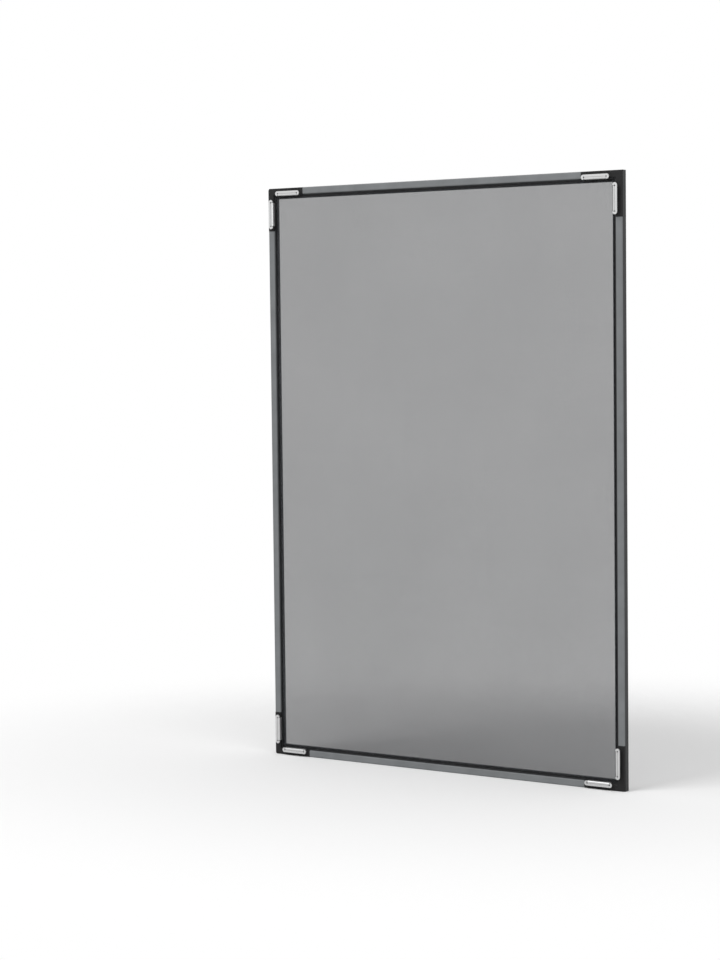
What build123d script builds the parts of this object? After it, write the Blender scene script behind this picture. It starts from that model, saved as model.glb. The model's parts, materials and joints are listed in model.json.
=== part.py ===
"""Pollen screen: a mitred aluminium frame with a stretched mesh, hung by hooks at its corners.

Millimetres. The origin is the middle of the mesh, in the plane of the frame's room-side face.
+X is to the right as seen from the room, +Y points outdoors and +Z is up.
"""

import os
from math import hypot

from build123d import *

# Clear mesh between the frame's inner edges
sight_width = 732.0
sight_height = 1060.0

# Frame profile, from its inner edge outwards and from its room-side face back
wall = 1.4
lip_wall = 1.8
groove_width = 3.4
groove_depth = 5.0
rim_land = 2.3
key_chamber = 5.2
back_slant = 5.2
edge_radius = 0.5
back_chamfer = 1.5

# Mesh and the spline that holds it in the groove
mesh_thickness = 0.4
mesh_clearance = 0.1
spline_drop = 0.6
spline_chamfer = 0.7

# Sealing strip: a bulb with two chambers, on a foot that sits in the profile's slot
seal_height = 3.5
seal_skin = 0.9
seal_crown = 2.0
seal_foot_in = 5.0
seal_slot_width = 4.0
seal_slot_height = 1.6
seal_slot_lip = 1.2
seal_slot_mouth = 2.8
seal_clearance = 0.15

# Hook: one bent strip with the bar that it hangs by, a web and a foot on the frame
hook_length = 56.0
hook_width = 9.0
hook_rise = 10.5
hook_gauge = 1.8
hook_bend = 0.8
hook_corner_gap = 1.5
hook_groove_gap = 0.2
hook_relief = 1.0
foot_length = 44.0
foot_edge = 0.25
hook_hole_radius = 1.3
hook_hole_margin = 5.5
bead_width = 0.9
bead_depth = 0.4

# Countersunk screw that holds the hook's foot, in a channel along the profile
screw_radius = 1.0
screw_head_radius = 1.9
screw_clearance = 0.1
screw_tip_gap = 1.0
screw_bar_gap = 0.8

# Corner key, and the soft pad under the two hooks of a corner
key_clearance = 0.15
key_length = 54.0
key_chamfer = 1.0
pad_end = 4.0
pad_fit = 0.2
pad_skirt = 0.8
pad_margin = 0.25
pad_radius = 4.0
pad_edge = 0.6

# Places outwards from the frame's inner edge
groove_out = lip_wall + groove_width
rim_width = groove_out + rim_land
seal_foot = rim_width + seal_foot_in
slot_in = seal_foot - seal_slot_width / 2
slot_out = seal_foot + seal_slot_width / 2
hook_in = groove_out + hook_groove_gap
hook_out = hook_in + hook_width
hook_middle = hook_in + hook_width / 2
web_out = hook_in + hook_gauge
pad_in = web_out + hook_bend
channel_half = screw_radius + screw_clearance
screw_line = max(hook_out + screw_bar_gap + screw_head_radius, slot_out + wall + channel_half)
foot_out = screw_line + screw_head_radius + foot_edge
relief_out = foot_out + pad_fit
pad_out = relief_out + pad_skirt
seal_out = pad_out
frame_face = pad_out + pad_margin

# Depths back from the room-side face
slot_floor = seal_slot_lip + seal_slot_height
chamber_front = groove_depth + wall
chamber_back = chamber_front + key_chamber
frame_depth = chamber_back + wall
hem_depth = groove_depth - mesh_clearance

# Slanted inner back of the profile, which keeps the frame slim beside the mesh, and the wall along it
back_in = lip_wall + back_slant
slant = back_slant / (frame_depth - chamber_front)
chamber_in = lip_wall + wall * hypot(1, slant)
chamber_back_in = chamber_in + slant * key_chamber

# Places along a side, from the corner of the mesh
hook_centre = hook_corner_gap + hook_length / 2
hole_spacing = hook_length - 2 * hook_hole_margin
pad_arm = hook_corner_gap + hook_length + pad_end

ROOM = (0, -1, 0)
half_width = sight_width / 2
half_height = sight_height / 2

# Each side: the middle of its inner edge, the way along it, the way outwards and its clear length
SIDES = {
    "top": ((0, 0, half_height), (1, 0, 0), (0, 0, 1), sight_width),
    "bottom": ((0, 0, -half_height), (-1, 0, 0), (0, 0, -1), sight_width),
    "left": ((-half_width, 0, 0), (0, 0, 1), (-1, 0, 0), sight_height),
    "right": ((half_width, 0, 0), (0, 0, -1), (1, 0, 0), sight_height),
}
PROFILES = {"top": "top_rail", "bottom": "bottom_rail", "left": "left_stile", "right": "right_stile"}

# Each corner: its place, and the way inwards along the first of the two sides that meet there
CORNERS = {
    "top_left": ((-half_width, 0, half_height), (0, 0, -1)),
    "top_right": ((half_width, 0, half_height), (-1, 0, 0)),
    "bottom_right": ((half_width, 0, -half_height), (0, 0, 1)),
    "bottom_left": ((-half_width, 0, -half_height), (1, 0, 0)),
}

# Each hook: its side, and on which half of that side it lies
HOOKS = {
    "top_hook_left": ("top", -1),
    "top_hook_right": ("top", 1),
    "bottom_hook_right": ("bottom", -1),
    "bottom_hook_left": ("bottom", 1),
    "left_hook_lower": ("left", -1),
    "left_hook_upper": ("left", 1),
    "right_hook_upper": ("right", -1),
    "right_hook_lower": ("right", 1),
}


def face_plane(side, offset=0.0):
    """A side's room-side face: x along the side, y outwards, z towards the room."""
    middle, along, outwards, length = SIDES[side]
    return Plane(origin=Vector(middle) + Vector(along) * offset, x_dir=along, z_dir=ROOM)


def section_plane(side, offset=0.0):
    """Across a side: x outwards from its inner edge, y towards the room."""
    middle, along, outwards, length = SIDES[side]
    return Plane(origin=Vector(middle) + Vector(along) * offset, x_dir=outwards, z_dir=along)


def corner_plane(corner):
    """A corner of the mesh: x and y inwards along its two sides, z towards the room."""
    place, first_side = CORNERS[corner]
    return Plane(origin=place, x_dir=first_side, z_dir=ROOM)


def hook_offset(side, half):
    """The middle of a hook, along its side from the side's own middle."""
    return half * (SIDES[side][3] / 2 - hook_centre)


def rectangle_between(low, high):
    """A rectangle in the sketch, from its low corner to its high corner."""
    with Locations(low):
        Rectangle(high[0] - low[0], high[1] - low[1], align=Align.MIN)


def mitred_strip(side, inner, outer):
    """A strip along a side with both ends cut at 45 degrees, in that side's face plane."""
    half = SIDES[side][3] / 2
    Polygon((-half - inner, inner), (half + inner, inner), (half + outer, outer),
            (-half - outer, outer), align=None)


def corner_outline(inner, outer, arm):
    """An L round the corner with equal arms, between two distances outwards from the mesh."""
    Polygon((-outer, -outer), (arm, -outer), (arm, -inner), (-inner, -inner),
            (-inner, arm), (-outer, arm), align=None)


def corner_screws():
    """The two hook screws of a corner, in its plane."""
    return [(hook_centre, -screw_line), (-screw_line, hook_centre)]


def mesh_band(inner, outer):
    """A band round the mesh, between two distances outwards from the frame's inner edge."""
    Rectangle(sight_width + 2 * outer, sight_height + 2 * outer)
    Rectangle(sight_width + 2 * inner, sight_height + 2 * inner, mode=Mode.SUBTRACT)


def profile_section():
    """The frame profile seen from its end: outwards and towards the room."""
    with BuildSketch() as section:
        Polygon((0, 0), (0, lip_wall - chamber_front), (lip_wall, -chamber_front), (back_in, -frame_depth),
                (frame_face, -frame_depth), (frame_face, 0), align=None)
        chamfer(section.vertices().group_by(Axis.Y)[0].sort_by(Axis.X)[-1], back_chamfer)
        fillet(section.vertices().group_by(Axis.Y)[0].sort_by(Axis.X)[0], edge_radius)
        with BuildSketch(mode=Mode.SUBTRACT):
            # the lip over which the mesh turns, and the groove behind it
            rectangle_between((0, -mesh_thickness), (lip_wall, 0))
            rectangle_between((lip_wall, -groove_depth), (groove_out, 0))
            # the seal's slot, wider behind its lips
            with Locations((seal_foot, -seal_slot_lip)):
                Rectangle(seal_slot_mouth, seal_slot_lip, align=(Align.CENTER, Align.MIN))
            rectangle_between((slot_in, -slot_floor), (slot_out, -seal_slot_lip))
            # a light chamber and the hook screws' channel
            rectangle_between((groove_out + wall, -groove_depth), (slot_in - wall, -wall))
            rectangle_between((screw_line - channel_half, -groove_depth), (screw_line + channel_half, 0))
            # the corner key's chamber behind them, with an even wall along the slant
            Polygon((chamber_in, -chamber_front), (frame_face - wall, -chamber_front),
                    (frame_face - wall, -chamber_back), (chamber_back_in, -chamber_back), align=None)
    return section.sketch


def frame_profile(side):
    """One mitred length of the frame."""
    with BuildPart() as profile:
        with BuildSketch(section_plane(side)):
            add(profile_section())
        extrude(amount=SIDES[side][3] / 2 + frame_face, both=True)
        with BuildSketch(face_plane(side)):
            mitred_strip(side, 0, frame_face)
        extrude(amount=-frame_depth, mode=Mode.INTERSECT)
    return profile.part


def pollen_mesh():
    """The stretched sheet: flat over the opening, its hem folded down, along and up in the groove."""
    hem_in = lip_wall + mesh_clearance
    hem_out = groove_out - mesh_clearance
    face = Plane(origin=(0, 0, 0), x_dir=(1, 0, 0), z_dir=ROOM)
    floor = face.offset(-hem_depth)
    with BuildPart() as sheet:
        with BuildSketch(face):
            turn = hem_in + mesh_thickness
            Rectangle(sight_width + 2 * turn, sight_height + 2 * turn)
        extrude(amount=-mesh_thickness)
        with BuildSketch(face):
            mesh_band(hem_in, hem_in + mesh_thickness)
        extrude(amount=-hem_depth)
        with BuildSketch(floor):
            mesh_band(hem_in, hem_out)
        extrude(amount=mesh_thickness)
        with BuildSketch(floor):
            mesh_band(hem_out - mesh_thickness, hem_out)
        extrude(amount=hem_depth - spline_drop)
    return sheet.part


def spline(side):
    """The rubber spline that presses the hem into the groove of one side."""
    seat = 2 * mesh_clearance + mesh_thickness
    width = groove_width - 2 * seat
    height = groove_depth - seat - spline_drop
    with BuildPart() as cord:
        with BuildSketch(section_plane(side)) as section:
            with Locations((lip_wall + groove_width / 2, -spline_drop)):
                Rectangle(width, height, align=(Align.CENTER, Align.MAX))
            chamfer(section.vertices(), spline_chamfer)
        extrude(amount=SIDES[side][3] / 2 + groove_out, both=True)
        with BuildSketch(face_plane(side)):
            mitred_strip(side, lip_wall, groove_out)
        extrude(amount=-groove_depth, mode=Mode.INTERSECT)
    return cord.part


def sealing_strip(side):
    """The soft strip between two corner pads: a bulb with a web inside, its neck and its foot."""
    foot_width = seal_slot_width - 2 * seal_clearance
    foot_height = seal_slot_height - 2 * seal_clearance
    neck_width = seal_slot_mouth - 2 * seal_clearance
    neck_height = seal_slot_lip + seal_clearance
    with BuildPart() as strip:
        with BuildSketch(section_plane(side)):
            with BuildSketch() as bulb:
                rectangle_between((rim_width, 0), (seal_out, seal_height))
                fillet(bulb.vertices().group_by(Axis.Y)[-1], seal_crown)
                offset(amount=-seal_skin, mode=Mode.SUBTRACT)
            with Locations((seal_foot, 0)):
                Rectangle(seal_skin, seal_height, align=(Align.CENTER, Align.MIN))
                Rectangle(neck_width, neck_height, align=(Align.CENTER, Align.MAX))
            with Locations((seal_foot, -neck_height)):
                Rectangle(foot_width, foot_height, align=(Align.CENTER, Align.MAX))
        extrude(amount=SIDES[side][3] / 2 - pad_arm - pad_fit, both=True)
    return strip.part


def corner_key(corner):
    """The L-shaped key pressed into two profiles, its ends chamfered to lead it in."""
    key_front = corner_plane(corner).offset(-chamber_front - key_clearance)
    key_height = key_chamber - 2 * key_clearance
    with BuildPart() as key:
        with BuildSketch(key_front) as outline:
            corner_outline(chamber_back_in + key_clearance, frame_face - wall - key_clearance, key_length)
            for way in (Axis.X, Axis.Y):
                chamfer(outline.vertices().group_by(way)[-1], key_chamfer)
        extrude(amount=-key_height)
    return key.part


def corner_pad(corner):
    """The soft L-shaped pad under two hooks, relieved underneath for their feet."""
    plane = corner_plane(corner)
    relief = foot_length + 2 * pad_fit
    with BuildPart() as pad:
        with BuildSketch(plane) as outline:
            corner_outline(pad_in, pad_out, pad_arm)
            outer_corner = outline.vertices().group_by(Axis.X)[0].sort_by(Axis.Y)[0]
            fillet(outer_corner, pad_radius)
        extrude(amount=seal_height)
        chamfer(pad.faces().sort_by(Axis.Y)[0].edges(), pad_edge)
        with BuildSketch(plane):
            with Locations((hook_centre, 0)):
                Rectangle(relief, relief_out, align=(Align.CENTER, Align.MAX))
            with Locations((0, hook_centre)):
                Rectangle(relief_out, relief, align=(Align.MAX, Align.CENTER))
        extrude(amount=hook_gauge, mode=Mode.SUBTRACT)
    return pad.part


def hook_section():
    """The bent strip seen from its end: foot, web and bar, outwards and towards the room."""
    bar_low = hook_rise - hook_gauge
    with BuildSketch() as bent:
        rectangle_between((hook_in, 0), (foot_out, hook_rise))
        fillet(bent.vertices().group_by(Axis.X)[0], hook_bend + hook_gauge)
        with BuildSketch(mode=Mode.SUBTRACT) as mouth:
            rectangle_between((web_out, hook_gauge), (foot_out, bar_low))
            fillet(mouth.vertices().group_by(Axis.X)[0], hook_bend)
        with BuildSketch(mode=Mode.SUBTRACT):
            rectangle_between((hook_out, bar_low), (foot_out, hook_rise))
    return bent.sketch


def hook(side, half):
    """One hook: the bent strip, and its bar with round ends that stand free of the bend."""
    middle = hook_offset(side, half)
    plan = face_plane(side, middle)
    bar_face = plan.offset(hook_rise)
    ear_start = foot_length / 2 + hook_relief
    with BuildPart() as strip:
        with BuildSketch(section_plane(side, middle)):
            add(hook_section())
        extrude(amount=foot_length / 2, both=True)
        with BuildSketch(bar_face):
            with Locations((0, hook_middle)):
                SlotOverall(hook_length, hook_width)
            with BuildSketch(mode=Mode.SUBTRACT):
                rectangle_between((-ear_start, hook_in), (ear_start, pad_in))
        extrude(amount=-hook_gauge)
        with BuildSketch(bar_face):
            with Locations((-hole_spacing / 2, hook_middle), (hole_spacing / 2, hook_middle)):
                Circle(hook_hole_radius)
        extrude(amount=-hook_gauge, mode=Mode.SUBTRACT)
        with BuildSketch(bar_face):
            with Locations((0, hook_middle)):
                Rectangle(hole_spacing, bead_width)
        extrude(amount=-bead_depth, mode=Mode.SUBTRACT)
        with Locations(plan.offset(hook_gauge)):
            with Locations((0, screw_line)):
                CounterSinkHole(screw_radius + screw_clearance, screw_head_radius + screw_clearance,
                                depth=hook_gauge, counter_sink_angle=90)
    return strip.part


def hook_screws():
    """All countersunk screws, as separate solids."""
    tip = groove_depth - screw_tip_gap
    head_height = screw_head_radius - screw_radius
    with BuildPart() as screws:
        for corner in CORNERS:
            head_plane = corner_plane(corner).offset(hook_gauge)
            with BuildSketch(head_plane):
                with Locations(*corner_screws()):
                    Circle(screw_radius)
            extrude(amount=-(hook_gauge + tip))
            with Locations(head_plane):
                with Locations(*corner_screws()):
                    Cone(screw_radius, screw_head_radius, head_height,
                         align=(Align.CENTER, Align.CENTER, Align.MAX))
    return screws.part


def save(part, node):
    """Label a finished piece and write it under its own name."""
    part.label = node
    export_step(part, f"parts/{node}.step")


os.makedirs("parts", exist_ok=True)
for side, node in PROFILES.items():
    save(frame_profile(side), node)
    save(spline(side), f"spline_{side}")
    save(sealing_strip(side), f"seal_{side}")
for corner in CORNERS:
    save(corner_key(corner), f"corner_key_{corner}")
    save(corner_pad(corner), f"corner_pad_{corner}")
for node, (side, half) in HOOKS.items():
    save(hook(side, half), node)
save(pollen_mesh(), "pollen_mesh")
save(hook_screws(), "hook_screws")
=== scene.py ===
"""Pollen screen: the finishes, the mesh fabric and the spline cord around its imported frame.

Metres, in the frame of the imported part: the origin is the middle of the mesh in the plane of the
frame's room-side face, +X is to the right as seen from the room, +Y points outdoors and +Z is up.
"""

import json
import math

import bmesh
import bpy
from mathutils import Matrix, Vector


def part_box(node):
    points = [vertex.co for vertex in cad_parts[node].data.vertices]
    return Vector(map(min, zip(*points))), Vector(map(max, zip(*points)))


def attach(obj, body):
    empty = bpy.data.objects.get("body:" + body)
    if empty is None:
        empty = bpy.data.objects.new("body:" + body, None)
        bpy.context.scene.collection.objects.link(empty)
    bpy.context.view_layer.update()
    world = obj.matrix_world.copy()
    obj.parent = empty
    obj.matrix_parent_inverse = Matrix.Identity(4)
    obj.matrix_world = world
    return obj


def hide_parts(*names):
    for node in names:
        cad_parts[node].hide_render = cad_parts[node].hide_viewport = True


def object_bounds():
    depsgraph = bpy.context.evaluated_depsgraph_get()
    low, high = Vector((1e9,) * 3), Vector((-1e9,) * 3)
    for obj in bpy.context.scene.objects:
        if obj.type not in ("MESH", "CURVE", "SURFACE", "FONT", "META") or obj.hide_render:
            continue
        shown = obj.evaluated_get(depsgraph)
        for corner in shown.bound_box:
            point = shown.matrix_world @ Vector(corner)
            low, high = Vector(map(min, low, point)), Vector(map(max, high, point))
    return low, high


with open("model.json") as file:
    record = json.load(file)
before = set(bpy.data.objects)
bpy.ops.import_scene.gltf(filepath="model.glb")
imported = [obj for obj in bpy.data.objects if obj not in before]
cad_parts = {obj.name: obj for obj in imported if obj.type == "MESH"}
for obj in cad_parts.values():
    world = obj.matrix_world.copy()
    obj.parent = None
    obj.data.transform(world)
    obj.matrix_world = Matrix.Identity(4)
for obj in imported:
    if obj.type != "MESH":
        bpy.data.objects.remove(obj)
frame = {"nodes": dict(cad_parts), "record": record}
cad_box = [list(corner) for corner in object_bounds()]

MM = 0.001

# Clear mesh between the frame's inner edges, read from the frame
clear_half_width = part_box("right_stile")[0].x
clear_half_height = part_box("top_rail")[0].z

# Mesh sheet, and its hem in the groove: outwards from the clear mesh and back from the face
mesh_thickness = 0.4 * MM
mesh_columns = 36
mesh_rows = 52
hem_turn = 2.1 * MM
hem_outer = 4.9 * MM
hem_floor = 4.7 * MM
hem_end = 0.8 * MM
hem_bend = 0.5 * MM
hem_bend_steps = 3

# Spline cord in the groove, with its section read from the frame; ribs as a share of the section
spline_line = 3.5 * MM
spline_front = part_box("spline_top")[0].y
spline_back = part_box("spline_top")[1].y
spline_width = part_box("spline_top")[1].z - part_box("spline_top")[0].z
cord_corner_radius = 1.4 * MM
cord_corner_steps = 5
cord_rib_count = 9
cord_rib_depth = 0.07

# Pressed line along each hook's bar, whose floor gets painted shade: its floor lies this far back
# from the bar's face, and faces the room squarely, which its normal's Y shows
bar_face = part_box("top_hook_left")[0].y
line_depth = 0.4 * MM
line_spare = 0.1 * MM
square_to_room = -0.97

# Brushing of the hooks and drawing of the corner keys, in streaks for each metre
brushed_level = (60.0, 400.0, 2200.0)
brushed_upright = (2200.0, 400.0, 60.0)
drawn_through = (1200.0, 25.0, 1200.0)

# Seam at each mitre: full up to its core, and gone at its edge
seam_core = 0.15 * MM
seam_edge = 0.4 * MM

# Weave of the pollen fabric: its pitches, the height of the wave at which a thread is full, what
# share of the light a hole and a yarn stop, and how far slubs and broad clouds change that share;
# slubs are counted from a place outside the mesh
warp_pitch = 0.9 * MM
weft_pitch = 0.75 * MM
thread_shoulder = 0.7
hole_cover = 0.20
yarn_cover = 0.61
slub_cover = 0.03
cloud_cover = 0.05
cloud_scale = 3.5
warp_slub_stretch = (290.0, 1.0, 5.0)
weft_slub_stretch = (6.0, 1.0, 330.0)
slub_start = (1.37, 0.45, 1.71)

# Stage: the floor is whole near the screen and gone further out
floor_height = cad_box[0][2]
floor_reach = 3.0
floor_whole = 0.45
floor_gone = 1.5
floor_white = (0.93, 0.93, 0.93, 1.0)
full_white = (1.0, 1.0, 1.0, 1.0)
ambient_light = 0.62

# Lamps, which look at the middle of the mesh: name, place, size and power
LAMPS = (
    ("key_lamp", (-0.9, -2.4, 3.1), 2.0, 75.0),
    ("fill_lamp", (2.6, -1.8, 1.2), 1.8, 22.0),
)

# Camera of the photograph, in the part's frame
camera_place = (2.409, -3.744, 0.2635)
camera_turn = math.radians(34.67)
camera_pitch = math.radians(-3.42)
camera_roll = math.radians(-0.65)
camera_lens = 90.0
camera_sensor = 36.0
camera_clip = 50.0


# Node helpers

def add_node(tree, kind, values=None, **settings):
    """A node with its settings, each named input set to a value or joined to a socket."""
    made = tree.nodes.new(kind)
    for name, value in settings.items():
        setattr(made, name, value)
    for name, value in (values or {}).items():
        socket = made.inputs[name]
        if isinstance(value, bpy.types.NodeSocket):
            tree.links.new(value, socket)
        else:
            socket.default_value = value
    return made


def maths(tree, operation, *values, clamp=False):
    """The result of a Math node."""
    made = add_node(tree, "ShaderNodeMath", dict(enumerate(values)),
                    operation=operation, use_clamp=clamp)
    return made.outputs[0]


def opaque(colour):
    """A colour with its alpha, or the socket that gives the colour."""
    return colour if isinstance(colour, bpy.types.NodeSocket) else (*colour, 1.0)


def mixed(tree, share, first, second):
    """The colour a share of the way from one colour to another."""
    made = add_node(tree, "ShaderNodeMix", {0: share, 6: opaque(first), 7: opaque(second)},
                    data_type="RGBA")
    return made.outputs[2]


def stretched_range(tree, value, low, high, new_low=0.0, new_high=1.0):
    """The value moved from one range to another, and kept in it."""
    made = add_node(tree, "ShaderNodeMapRange", {
        "Value": value, "From Min": low, "From Max": high, "To Min": new_low, "To Max": new_high})
    return made.outputs["Result"]


def between(tree, share, low, high):
    """The value a share of the way from one value to another."""
    return stretched_range(tree, share, 0.0, 1.0, low, high)


def noise(tree, place, scale, detail=2.0, roughness=0.5):
    """Noise from 0 to 1 at a place, with its scale in cycles for each metre."""
    made = add_node(tree, "ShaderNodeTexNoise", {
        "Vector": place, "Scale": scale, "Detail": detail, "Roughness": roughness})
    return made.outputs["Fac"]


def axes_of(tree, place):
    """The sockets of a place's or a direction's X, Y and Z."""
    return add_node(tree, "ShaderNodeSeparateXYZ", {0: place}).outputs


def face_normal(tree):
    """The direction in which the surface looks."""
    return add_node(tree, "ShaderNodeNewGeometry").outputs["Normal"]


def scaled_place(tree, place, factors):
    """A place with each of its axes scaled by its own factor."""
    made = add_node(tree, "ShaderNodeVectorMath", {0: place, 1: factors}, operation="MULTIPLY")
    return made.outputs[0]


def group_tree(name, inputs, outputs):
    """An empty shader group with named inputs (name, kind, value) and outputs (name, kind)."""
    tree = bpy.data.node_groups.new(name, "ShaderNodeTree")
    for label, kind, value in inputs:
        socket = tree.interface.new_socket(name=label, in_out="INPUT", socket_type=kind)
        if value is not None:
            socket.default_value = value
    for label, kind in outputs:
        tree.interface.new_socket(name=label, in_out="OUTPUT", socket_type=kind)
    given = tree.nodes.new("NodeGroupInput").outputs
    result = tree.nodes.new("NodeGroupOutput").inputs
    return tree, given, result


# Effects that several finishes share, and the weave

def moulded_grain_group():
    """Fine even grain, as on powder coat and moulded rubber: a height, and broad cloudy patches."""
    tree, given, result = group_tree(
        "moulded_grain",
        (("Place", "NodeSocketVector", None), ("Grain Size", "NodeSocketFloat", 1.0 * MM),
         ("Patch Size", "NodeSocketFloat", 50.0 * MM)),
        (("Height", "NodeSocketFloat"), ("Patches", "NodeSocketFloat")))
    grain_scale = maths(tree, "DIVIDE", 1.0, given["Grain Size"])
    patch_scale = maths(tree, "DIVIDE", 1.0, given["Patch Size"])
    grain = noise(tree, given["Place"], grain_scale, detail=1.0)
    patches = noise(tree, given["Place"], patch_scale, detail=4.0, roughness=0.6)
    tree.links.new(grain, result["Height"])
    tree.links.new(stretched_range(tree, patches, 0.3, 0.7), result["Patches"])
    return tree


def settled_dust_group():
    """Faint dust that lies in patches, more on faces that look up."""
    tree, given, result = group_tree(
        "settled_dust",
        (("Place", "NodeSocketVector", None), ("Amount", "NodeSocketFloat", 0.1)),
        (("Dust", "NodeSocketFloat"),))
    upwards = axes_of(tree, face_normal(tree))["Z"]
    lies = stretched_range(tree, upwards, -0.2, 1.0, new_low=0.25)
    specks = noise(tree, given["Place"], scale=260.0, detail=5.0, roughness=0.7)
    patches = noise(tree, given["Place"], scale=14.0, detail=3.0)
    cover = maths(tree, "MULTIPLY", stretched_range(tree, specks, 0.45, 0.75),
                  stretched_range(tree, patches, 0.35, 0.7, new_low=0.2))
    cover = maths(tree, "MULTIPLY", cover, lies)
    tree.links.new(maths(tree, "MULTIPLY", cover, given["Amount"], clamp=True), result["Dust"])
    return tree


def drawn_streaks_group():
    """Fine streaks along an axis, as brushing and extrusion leave them."""
    tree, given, result = group_tree(
        "drawn_streaks",
        (("Place", "NodeSocketVector", None), ("Stretch", "NodeSocketVector", None)),
        (("Streaks", "NodeSocketFloat"),))
    along = scaled_place(tree, given["Place"], given["Stretch"])
    streaks = noise(tree, along, scale=1.0, detail=3.0, roughness=0.65)
    tree.links.new(stretched_range(tree, streaks, 0.25, 0.75), result["Streaks"])
    return tree


def woven_threads_group():
    """A plain weave in the XZ plane: how far a thread covers the place, and the threads' height.

    Each thread runs over and under the ones that it crosses, by turns.
    """
    tree, given, result = group_tree(
        "woven_threads",
        (("Place", "NodeSocketVector", None), ("Warp Pitch", "NodeSocketFloat", 1.0 * MM),
         ("Weft Pitch", "NodeSocketFloat", 1.0 * MM)),
        (("Cover", "NodeSocketFloat"), ("Height", "NodeSocketFloat")))
    axes = axes_of(tree, given["Place"])

    def wave(axis, pitch, turns):
        """A wave along an axis, with that many turns in each pitch."""
        swing = maths(tree, "MULTIPLY", axes[axis], turns * 2.0 * math.pi)
        return maths(tree, "COSINE", maths(tree, "DIVIDE", swing, pitch))

    warp = stretched_range(tree, wave("X", given["Warp Pitch"], 1.0), 0.0, thread_shoulder)
    weft = stretched_range(tree, wave("Z", given["Weft Pitch"], 1.0), 0.0, thread_shoulder)
    crossings = maths(tree, "MULTIPLY", wave("X", given["Warp Pitch"], 0.5),
                      wave("Z", given["Weft Pitch"], 0.5))
    warp_on_top = maths(tree, "MULTIPLY_ADD", crossings, 0.5, 0.5)
    weft_on_top = maths(tree, "SUBTRACT", 1.0, warp_on_top)
    height = maths(tree, "MAXIMUM", maths(tree, "MULTIPLY", warp, warp_on_top),
                   maths(tree, "MULTIPLY", weft, weft_on_top))
    tree.links.new(maths(tree, "MAXIMUM", warp, weft), result["Cover"])
    tree.links.new(height, result["Height"])
    return tree


GRAIN = moulded_grain_group()
DUST = settled_dust_group()
STREAKS = drawn_streaks_group()
WEAVE = woven_threads_group()


def place_group(tree, group, values):
    """A group's outputs, with its inputs set."""
    return add_node(tree, "ShaderNodeGroup", values, node_tree=group).outputs


def grain_at(tree, place, grain_size, patch_size):
    """The height and the patches of a moulded grain."""
    return place_group(tree, GRAIN, {
        "Place": place, "Grain Size": grain_size, "Patch Size": patch_size})


def dust_at(tree, place, amount):
    """How far dust covers a place."""
    return place_group(tree, DUST, {"Place": place, "Amount": amount})["Dust"]


def streaks_at(tree, place, stretch):
    """Streaks from 0 to 1, with their stretch in streaks for each metre on every axis."""
    return place_group(tree, STREAKS, {"Place": place, "Stretch": stretch})["Streaks"]


# Finishes

def new_finish(name):
    """A material with an empty Principled shader, its node tree and the place on the object."""
    material = bpy.data.materials.new(name)
    material.use_nodes = True
    tree = material.node_tree
    tree.nodes.clear()
    shader = tree.nodes.new("ShaderNodeBsdfPrincipled")
    output = tree.nodes.new("ShaderNodeOutputMaterial")
    tree.links.new(shader.outputs["BSDF"], output.inputs["Surface"])
    place = tree.nodes.new("ShaderNodeTexCoord").outputs["Object"]
    return material, tree, shader, place


def join(tree, shader, **sockets):
    """Join values to a shader's inputs, named with underscores for spaces."""
    for name, value in sockets.items():
        tree.links.new(value, shader.inputs[name.replace("_", " ")])


def bumped(tree, height, strength, distance):
    """The normal of a surface with that height."""
    made = add_node(tree, "ShaderNodeBump", {
        "Height": height, "Strength": strength, "Distance": distance})
    return made.outputs["Normal"]


def mitre_seam(tree, place):
    """A mask of the fine line where two profiles meet at 45 degrees."""
    axes = axes_of(tree, place)
    across = maths(tree, "ABSOLUTE", axes["X"])
    upwards = maths(tree, "ABSOLUTE", axes["Z"])
    lead = maths(tree, "SUBTRACT", upwards, across)
    off_line = maths(tree, "SUBTRACT", lead, clear_half_height - clear_half_width)
    distance = maths(tree, "ABSOLUTE", off_line)
    return stretched_range(tree, distance, seam_core, seam_edge, new_low=1.0, new_high=0.0)


def black_powder_coat():
    """Fine black powder coat on the frame's profiles, with a dark seam at each mitre and a painted
    highlight on the grain's raised tips.
    """
    deep_black = (0.0105, 0.0110, 0.0120)
    pale_black = (0.0150, 0.0156, 0.0168)
    # Painted highlight: the colour laid on the grain's raised tips
    grain_tip_highlight = (0.024, 0.025, 0.027)
    dust_colour = (0.20, 0.19, 0.17)
    seam_black = (0.003, 0.003, 0.003)
    tip_highlight_share = 0.35
    seam_drop = 1.5
    material, tree, shader, place = new_finish("black_powder_coat")
    grain = grain_at(tree, place, grain_size=0.9 * MM, patch_size=60 * MM)
    seam = mitre_seam(tree, place)
    coat = mixed(tree, grain["Patches"], deep_black, pale_black)
    # Painted highlight: the coat is lighter where the grain stands highest
    coat = mixed(tree, maths(tree, "MULTIPLY", grain["Height"], tip_highlight_share), coat, grain_tip_highlight)
    dusted = mixed(tree, dust_at(tree, place, amount=0.10), coat, dust_colour)
    lined = mixed(tree, seam, dusted, seam_black)
    rough = between(tree, grain["Patches"], 0.42, 0.54)
    surface = maths(tree, "SUBTRACT", grain["Height"], maths(tree, "MULTIPLY", seam, seam_drop))
    normal = bumped(tree, surface, strength=0.25, distance=0.06 * MM)
    join(tree, shader, Base_Color=lined, Roughness=rough, Normal=normal)
    shader.inputs["Specular IOR Level"].default_value = 0.3
    return material


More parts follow.
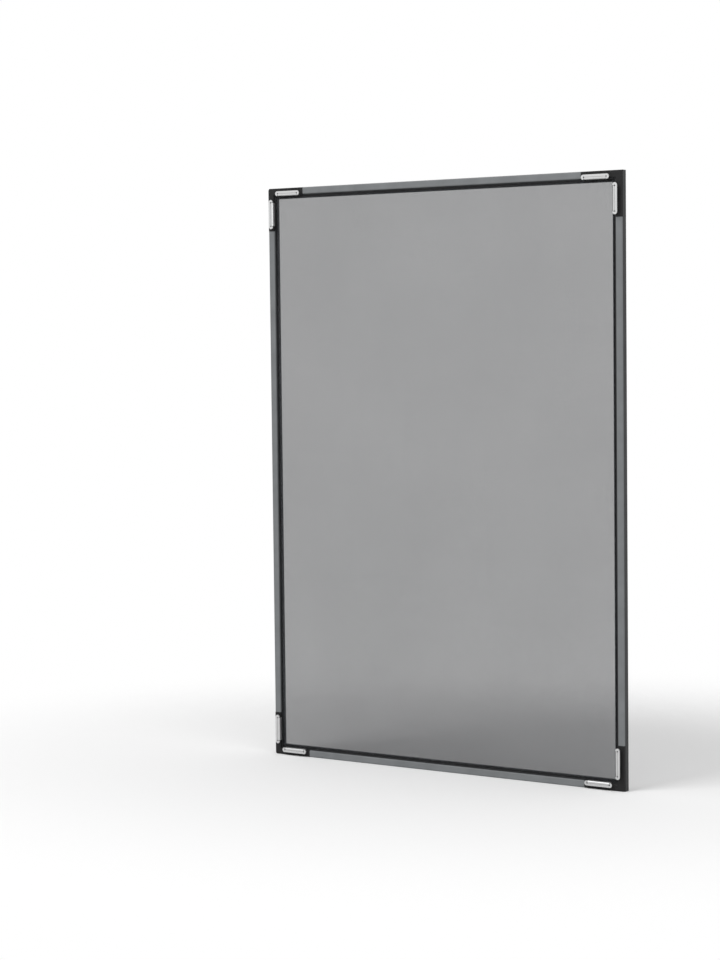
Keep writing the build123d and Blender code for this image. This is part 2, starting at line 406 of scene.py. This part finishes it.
def moulded_rubber(name, grain_size, patch_size, shades, rough_range, bump, shine, dust=None):
    """Rubber with a fine grain and cloudy patches between two shades.

    bump is the grain's strength and depth, and dust, where there is any, its amount and colour.
    """
    material, tree, shader, place = new_finish(name)
    grain = grain_at(tree, place, grain_size, patch_size)
    colour = mixed(tree, grain["Patches"], *shades)
    if dust:
        amount, dust_colour = dust
        colour = mixed(tree, dust_at(tree, place, amount), colour, dust_colour)
    rough = between(tree, grain["Patches"], *rough_range)
    normal = bumped(tree, grain["Height"], *bump)
    join(tree, shader, Base_Color=colour, Roughness=rough, Normal=normal)
    shader.inputs["Specular IOR Level"].default_value = shine
    return material


def grey_seal_rubber():
    """Smooth grey rubber of the sealing strips."""
    return moulded_rubber(
        "grey_seal_rubber", grain_size=0.5 * MM, patch_size=35 * MM,
        shades=((0.150, 0.158, 0.163), (0.182, 0.191, 0.197)), rough_range=(0.48, 0.60),
        bump=(0.15, 0.05 * MM), shine=0.35, dust=(0.14, (0.34, 0.33, 0.31)))


def black_pad_rubber():
    """Matt black rubber of the corner pads."""
    return moulded_rubber(
        "black_pad_rubber", grain_size=0.7 * MM, patch_size=18 * MM,
        shades=((0.009, 0.009, 0.0095), (0.015, 0.015, 0.0155)), rough_range=(0.66, 0.80),
        bump=(0.4, 0.08 * MM), shine=0.25, dust=(0.16, (0.17, 0.16, 0.15)))


def black_spline_rubber():
    """Soft black rubber of the spline cord."""
    return moulded_rubber(
        "black_spline_rubber", grain_size=0.4 * MM, patch_size=12 * MM,
        shades=((0.008, 0.008, 0.0085), (0.013, 0.013, 0.0135)), rough_range=(0.5, 0.66),
        bump=(0.2, 0.05 * MM), shine=0.3)


def pressed_line(tree, place):
    """A mask of the pressed line's floor, on faces that look into the room, where shade is painted.
    """
    depth = axes_of(tree, place)["Y"]
    backwards = axes_of(tree, face_normal(tree))["Y"]
    faces_room = maths(tree, "LESS_THAN", backwards, square_to_room)
    on_floor = maths(tree, "COMPARE", depth, bar_face + line_depth, line_spare)
    return maths(tree, "MULTIPLY", faces_room, on_floor)


def satin_hook_steel():
    """Bright satin steel of the hooks, brushed along the bars, with painted shade in the pressed
    line.
    """
    dull_steel = (0.58, 0.585, 0.59)
    bright_steel = (0.66, 0.66, 0.66)
    handled_steel = (0.50, 0.50, 0.495)
    # Painted shade: the colour of the pressed line's floor, darkened as if in shade
    line_painted_shade = (0.38, 0.38, 0.375)
    handled_share = 0.3
    material, tree, shader, place = new_finish("satin_hook_steel")
    height = maths(tree, "ABSOLUTE", axes_of(tree, place)["Z"])
    level_bar = maths(tree, "GREATER_THAN", height, clear_half_height)
    level = streaks_at(tree, place, brushed_level)
    upright = streaks_at(tree, place, brushed_upright)
    change = maths(tree, "SUBTRACT", level, upright)
    streaks = maths(tree, "MULTIPLY_ADD", change, level_bar, upright)
    grain = grain_at(tree, place, grain_size=1.5 * MM, patch_size=16 * MM)
    handled = maths(tree, "MULTIPLY", grain["Patches"], handled_share)
    steel = mixed(tree, streaks, dull_steel, bright_steel)
    steel = mixed(tree, handled, steel, handled_steel)
    # Painted shade: the pressed line's floor is darkened as if shade fell in it
    lined = mixed(tree, pressed_line(tree, place), steel, line_painted_shade)
    rough = between(tree, streaks, 0.32, 0.44)
    normal = bumped(tree, streaks, strength=0.12, distance=0.03 * MM)
    join(tree, shader, Base_Color=lined, Roughness=rough, Normal=normal)
    shader.inputs["Metallic"].default_value = 1.0
    return material


def plain_screw_steel():
    """Plain steel of the countersunk screws."""
    dull_steel = (0.50, 0.50, 0.51)
    bright_steel = (0.62, 0.62, 0.63)
    material, tree, shader, place = new_finish("plain_screw_steel")
    grain = grain_at(tree, place, grain_size=0.3 * MM, patch_size=3 * MM)
    steel = mixed(tree, grain["Patches"], dull_steel, bright_steel)
    rough = between(tree, grain["Patches"], 0.28, 0.4)
    normal = bumped(tree, grain["Height"], strength=0.1, distance=0.02 * MM)
    join(tree, shader, Base_Color=steel, Roughness=rough, Normal=normal)
    shader.inputs["Metallic"].default_value = 1.0
    return material


def extruded_key_aluminium():
    """Bare extruded aluminium of the corner keys."""
    dull_metal = (0.50, 0.50, 0.51)
    bright_metal = (0.60, 0.60, 0.61)
    material, tree, shader, place = new_finish("extruded_key_aluminium")
    streaks = streaks_at(tree, place, drawn_through)
    bare = mixed(tree, streaks, dull_metal, bright_metal)
    rough = between(tree, streaks, 0.36, 0.5)
    normal = bumped(tree, streaks, strength=0.15, distance=0.03 * MM)
    join(tree, shader, Base_Color=bare, Roughness=rough, Normal=normal)
    shader.inputs["Metallic"].default_value = 1.0
    return material


def pollen_fabric():
    """Fine dark see-through weave, a little denser in streaks along its threads, with painted shade
    where a yarn dips under and painted light where it lies over.
    """
    # Painted shade and light: the yarn's colour where it dips under a crossing thread, and where it
    # lies over
    yarn_painted_shade_under = (0.020, 0.022, 0.026)
    yarn_painted_light_over = (0.036, 0.039, 0.045)
    yarn_slub = (0.042, 0.045, 0.051)
    material, tree, shader, place = new_finish("pollen_fabric")
    weave = place_group(tree, WEAVE, {
        "Place": place, "Warp Pitch": warp_pitch, "Weft Pitch": weft_pitch})
    moved = add_node(tree, "ShaderNodeVectorMath", {0: place, 1: slub_start}, operation="ADD")

    def drawn_out(stretch):
        """Noise that is drawn out along the threads of one way."""
        along = scaled_place(tree, moved.outputs[0], stretch)
        return noise(tree, along, scale=1.0, detail=3.0, roughness=0.6)

    # Each noise lies about 0.5, so slubs and clouds lie about 0
    both_slubs = maths(tree, "ADD", drawn_out(warp_slub_stretch), drawn_out(weft_slub_stretch))
    slubs = maths(tree, "SUBTRACT", both_slubs, 1.0)
    clouds = maths(tree, "SUBTRACT", noise(tree, place, cloud_scale, detail=3.0), 0.5)
    uneven = maths(tree, "MULTIPLY_ADD", slubs, slub_cover,
                   maths(tree, "MULTIPLY", clouds, cloud_cover))
    open_weave = between(tree, weave["Cover"], hole_cover, yarn_cover)
    alpha = maths(tree, "ADD", open_weave, uneven, clamp=True)
    # Painted shade and light: a yarn is darker where it dips under a crossing thread and lighter
    # where it lies on top
    yarn = mixed(tree, weave["Height"], yarn_painted_shade_under, yarn_painted_light_over)
    yarn = mixed(tree, stretched_range(tree, slubs, -0.3, 0.3), yarn, yarn_slub)
    rough = between(tree, weave["Height"], 0.62, 0.78)
    normal = bumped(tree, weave["Height"], strength=0.3, distance=0.12 * MM)
    join(tree, shader, Base_Color=yarn, Roughness=rough, Alpha=alpha, Normal=normal)
    shader.inputs["Specular IOR Level"].default_value = 0.3
    shader.inputs["Sheen Weight"].default_value = 0.05
    return material


FINISHES = {
    "frame_coat": black_powder_coat(),
    "seal_rubber": grey_seal_rubber(),
    "pad_rubber": black_pad_rubber(),
    "spline_rubber": black_spline_rubber(),
    "hook_steel": satin_hook_steel(),
    "screw_steel": plain_screw_steel(),
    "key_aluminium": extruded_key_aluminium(),
    "mesh_fabric": pollen_fabric(),
}


# Pieces

def finish_cad_nodes():
    """Give every node of the frame the finish of its material slot."""
    for subpart in frame["record"]["subparts"]:
        node = frame["nodes"][subpart["node"]]
        node.data.materials.clear()
        node.data.materials.append(FINISHES[subpart["material_slot"]])


def new_piece(name, mesh):
    """An object at the origin that shows a mesh."""
    piece = bpy.data.objects.new(name, mesh)
    bpy.context.scene.collection.objects.link(piece)
    return piece


def plain_mesh(piece, finish):
    """Turn a piece with its modifiers into a plain mesh with one finish."""
    shown = piece.evaluated_get(bpy.context.evaluated_depsgraph_get())
    mesh = bpy.data.meshes.new_from_object(shown)
    mesh.name = piece.name
    piece.modifiers.clear()
    piece.data = mesh
    mesh.materials.clear()
    mesh.materials.append(finish)
    return piece


# Mesh fabric

def rounded_hem_path():
    """The hem from the clear mesh into the groove: points (outwards, back) with rounded folds."""
    middle = mesh_thickness / 2
    folds = [(hem_turn, middle), (hem_turn, hem_floor), (hem_outer, hem_floor)]
    path = [Vector((0.0, middle)), *map(Vector, folds), Vector((hem_outer, hem_end))]
    rounded = [path[0]]
    for before, fold, after in zip(path, path[1:], path[2:]):
        start = fold + (before - fold).normalized() * hem_bend
        end = fold + (after - fold).normalized() * hem_bend
        centre = start + end - fold
        for step in range(hem_bend_steps + 1):
            angle = step / hem_bend_steps * math.pi / 2
            reach = (start - centre) * math.cos(angle) + (end - centre) * math.sin(angle)
            rounded.append(centre + reach)
    return rounded + [path[-1]]


def path_length(path):
    """The length of a path through its points."""
    return sum((after - before).length for before, after in zip(path, path[1:]))


def outwards_from(place):
    """The way out of the clear mesh from a place on its edge."""
    near = 1e-6
    across = math.copysign(1.0, place.x) if abs(place.x) > clear_half_width - near else 0.0
    upwards = math.copysign(1.0, place.z) if abs(place.z) > clear_half_height - near else 0.0
    return Vector((across, 0.0, upwards))


def mesh_sheet():
    """The stretched fabric: a flat grid over the opening, its hem folded into the groove."""
    path = rounded_hem_path()
    shape = bmesh.new()
    grid = []
    for row in range(mesh_rows + 1):
        height = clear_half_height * (2 * row / mesh_rows - 1)
        places = [clear_half_width * (2 * column / mesh_columns - 1)
                  for column in range(mesh_columns + 1)]
        grid.append([shape.verts.new((across, path[0].y, height)) for across in places])
    for low, high in zip(grid, grid[1:]):
        for column in range(mesh_columns):
            shape.faces.new((low[column], low[column + 1], high[column + 1], high[column]))
    rim = grid[0][:-1] + [line[-1] for line in grid[:-1]]
    rim += grid[-1][:0:-1] + [line[0] for line in grid[:0:-1]]
    flat = [vert.co.copy() for vert in rim]
    ways = [outwards_from(place) for place in flat]
    inner = rim
    for outwards, back in path[1:]:
        outer = [shape.verts.new((place.x + way.x * outwards, back, place.z + way.z * outwards))
                 for place, way in zip(flat, ways)]
        for side in range(len(rim)):
            after = (side + 1) % len(rim)
            shape.faces.new((inner[side], outer[side], outer[after], inner[after]))
        inner = outer
    bmesh.ops.recalc_face_normals(shape, faces=shape.faces)
    mesh = bpy.data.meshes.new("mesh_sheet_flat")
    shape.to_mesh(mesh)
    shape.free()
    sheet = new_piece("mesh_sheet", mesh)
    wall = sheet.modifiers.new("cloth_thickness", "SOLIDIFY")
    wall.thickness = mesh_thickness
    wall.offset = 0.0
    wall.use_even_offset = True
    plain_mesh(sheet, FINISHES["mesh_fabric"])
    hem_length = path_length(path)
    cut_width = 2 * (clear_half_width + hem_length)
    cut_height = 2 * (clear_half_height + hem_length)
    return sheet, (cut_width, cut_height)


# Spline cord

def ribbed_cord_tree():
    """A ribbed cord along a rectangle with rounded corners, in the XZ plane."""
    tree = bpy.data.node_groups.new("ribbed_cord", "GeometryNodeTree")
    tree.interface.new_socket(name="Geometry", in_out="INPUT", socket_type="NodeSocketGeometry")
    for label, kind in (("Line Width", "NodeSocketFloat"), ("Line Height", "NodeSocketFloat"),
                        ("Corner Radius", "NodeSocketFloat"), ("Corner Steps", "NodeSocketInt"),
                        ("Cord Width", "NodeSocketFloat"), ("Cord Depth", "NodeSocketFloat"),
                        ("Rib Count", "NodeSocketInt"), ("Rib Depth", "NodeSocketFloat"),
                        ("Line Depth", "NodeSocketFloat"), ("Finish", "NodeSocketMaterial")):
        tree.interface.new_socket(name=label, in_out="INPUT", socket_type=kind)
    tree.interface.new_socket(name="Geometry", in_out="OUTPUT", socket_type="NodeSocketGeometry")
    given = tree.nodes.new("NodeGroupInput").outputs
    result = tree.nodes.new("NodeGroupOutput").inputs

    line = add_node(tree, "GeometryNodeCurvePrimitiveQuadrilateral", {
        "Width": given["Line Width"], "Height": given["Line Height"]}, mode="RECTANGLE")
    rounded = add_node(tree, "GeometryNodeFilletCurve", {
        "Curve": line.outputs["Curve"], "Radius": given["Corner Radius"],
        "Count": given["Corner Steps"]}, mode="POLY")
    level = add_node(tree, "GeometryNodeSetCurveNormal", {
        "Curve": rounded.outputs["Curve"]}, mode="Z_UP")

    # A ribbed section of diameter 1, scaled to the cord's width and depth
    ribs = add_node(tree, "GeometryNodeCurveStar", {
        "Points": given["Rib Count"], "Outer Radius": 0.5,
        "Inner Radius": maths(tree, "SUBTRACT", 0.5, given["Rib Depth"])})
    section_size = add_node(tree, "ShaderNodeCombineXYZ", {
        "X": given["Cord Depth"], "Y": given["Cord Width"], "Z": 1.0})
    section = add_node(tree, "GeometryNodeTransform", {
        "Geometry": ribs.outputs["Curve"], "Scale": section_size.outputs["Vector"]})
    swept = add_node(tree, "GeometryNodeCurveToMesh", {
        "Curve": level.outputs["Curve"], "Profile Curve": section.outputs["Geometry"]})
    depth = add_node(tree, "ShaderNodeCombineXYZ", {"Y": given["Line Depth"]})
    upright = add_node(tree, "GeometryNodeTransform", {
        "Geometry": swept.outputs["Mesh"], "Translation": depth.outputs["Vector"],
        "Rotation": (math.pi / 2, 0.0, 0.0)})
    whole = add_node(tree, "GeometryNodeRealizeInstances", {
        "Geometry": upright.outputs["Geometry"]})
    finished = add_node(tree, "GeometryNodeSetMaterial", {
        "Geometry": whole.outputs["Geometry"], "Material": given["Finish"]})
    tree.links.new(finished.outputs["Geometry"], result["Geometry"])
    return tree


def set_inputs(modifier, values):
    """Set a Geometry Nodes modifier's inputs, found by their names, through their identifiers."""
    for item in modifier.node_group.interface.items_tree:
        if item.item_type == "SOCKET" and item.in_out == "INPUT" and item.name in values:
            modifier[item.identifier] = values[item.name]


def spline_cord():
    """The ribbed rubber cord that holds the mesh's hem in the groove, in one length all round."""
    cord = new_piece("spline_cord", bpy.data.meshes.new("spline_cord_start"))
    modifier = cord.modifiers.new("ribbed_cord", "NODES")
    modifier.node_group = ribbed_cord_tree()
    set_inputs(modifier, {
        "Line Width": 2 * (clear_half_width + spline_line),
        "Line Height": 2 * (clear_half_height + spline_line),
        "Corner Radius": cord_corner_radius,
        "Corner Steps": cord_corner_steps,
        "Cord Width": spline_width,
        "Cord Depth": spline_back - spline_front,
        "Rib Count": cord_rib_count,
        "Rib Depth": cord_rib_depth,
        "Line Depth": (spline_front + spline_back) / 2,
        "Finish": FINISHES["spline_rubber"],
    })
    return plain_mesh(cord, FINISHES["spline_rubber"])


# Stage

def floor_finish():
    """A pale floor that breaks up in fine specks into the white round it, without an edge."""
    material = bpy.data.materials.new("pale_floor")
    material.use_nodes = True
    tree = material.node_tree
    tree.nodes.clear()
    place = tree.nodes.new("ShaderNodeTexCoord").outputs["Object"]
    spread = add_node(tree, "ShaderNodeVectorMath", {0: place}, operation="LENGTH")
    fade = add_node(tree, "ShaderNodeMapRange", {
        "Value": spread.outputs["Value"], "From Min": floor_whole, "From Max": floor_gone,
        "To Min": 0.0, "To Max": 1.0}, interpolation_type="SMOOTHERSTEP")
    speck = add_node(tree, "ShaderNodeTexWhiteNoise", {"Vector": place})
    gone = maths(tree, "GREATER_THAN", fade.outputs["Result"], speck.outputs["Value"])
    pale = add_node(tree, "ShaderNodeBsdfDiffuse", {"Color": floor_white})
    clear = add_node(tree, "ShaderNodeBsdfTransparent")
    blend = add_node(tree, "ShaderNodeMixShader", {
        0: gone, 1: pale.outputs["BSDF"], 2: clear.outputs["BSDF"]})
    output = tree.nodes.new("ShaderNodeOutputMaterial")
    tree.links.new(blend.outputs["Shader"], output.inputs["Surface"])
    return material


def pale_floor():
    """A level floor under the screen."""
    mesh = bpy.data.meshes.new("pale_floor")
    corners = [(-floor_reach, -floor_reach, 0), (floor_reach, -floor_reach, 0),
               (floor_reach, floor_reach, 0), (-floor_reach, floor_reach, 0)]
    mesh.from_pydata(corners, [], [(0, 1, 2, 3)])
    mesh.materials.append(floor_finish())
    floor = new_piece("pale_floor", mesh)
    floor.location.z = floor_height


def white_world():
    """White to the camera and in reflections, and a soft even light on the object."""
    world = bpy.data.worlds.new("white_world")
    bpy.context.scene.world = world
    world.use_nodes = True
    tree = world.node_tree
    tree.nodes.clear()
    path = tree.nodes.new("ShaderNodeLightPath").outputs
    seen = maths(tree, "MAXIMUM", path["Is Camera Ray"], path["Is Glossy Ray"])
    light = add_node(tree, "ShaderNodeBackground", {
        "Color": full_white, "Strength": ambient_light})
    white = add_node(tree, "ShaderNodeBackground", {"Color": full_white, "Strength": 1.0})
    blend = add_node(tree, "ShaderNodeMixShader", {
        0: seen, 1: light.outputs["Background"], 2: white.outputs["Background"]})
    output = tree.nodes.new("ShaderNodeOutputWorld")
    tree.links.new(blend.outputs["Shader"], output.inputs["Surface"])


def soft_lamp(name, place, size, power):
    """A square studio lamp that looks at the middle of the mesh."""
    lamp = bpy.data.lights.new(name, "AREA")
    lamp.size = size
    lamp.energy = power
    stand = bpy.data.objects.new(name, lamp)
    stand.location = place
    stand.rotation_euler = (-Vector(place)).to_track_quat("-Z", "Y").to_euler()
    bpy.context.scene.collection.objects.link(stand)


def photo_camera():
    """The camera at the photograph's place and angle."""
    data = bpy.data.cameras.new("photo_camera")
    data.lens = camera_lens
    data.sensor_width = camera_sensor
    data.clip_end = camera_clip
    forward = Vector((-math.sin(camera_turn) * math.cos(camera_pitch),
                      math.cos(camera_turn) * math.cos(camera_pitch),
                      math.sin(camera_pitch)))
    level_right = Vector((math.cos(camera_turn), math.sin(camera_turn), 0.0))
    level_up = level_right.cross(forward)
    right = math.cos(camera_roll) * level_right + math.sin(camera_roll) * level_up
    up = -math.sin(camera_roll) * level_right + math.cos(camera_roll) * level_up
    axes = Matrix((right, up, -forward)).transposed()
    camera = bpy.data.objects.new("photo_camera", data)
    camera.matrix_world = Matrix.Translation(camera_place) @ axes.to_4x4()
    bpy.context.scene.collection.objects.link(camera)
    bpy.context.scene.camera = camera


finish_cad_nodes()

sheet, flat_cut = mesh_sheet()
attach(sheet, "root")
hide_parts("pollen_mesh")

cord = spline_cord()
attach(cord, "root")
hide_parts("spline_top", "spline_bottom", "spline_left", "spline_right")

pale_floor()
white_world()
for lamp_values in LAMPS:
    soft_lamp(*lamp_values)
photo_camera()
bpy.context.scene.view_settings.view_transform = "Standard"
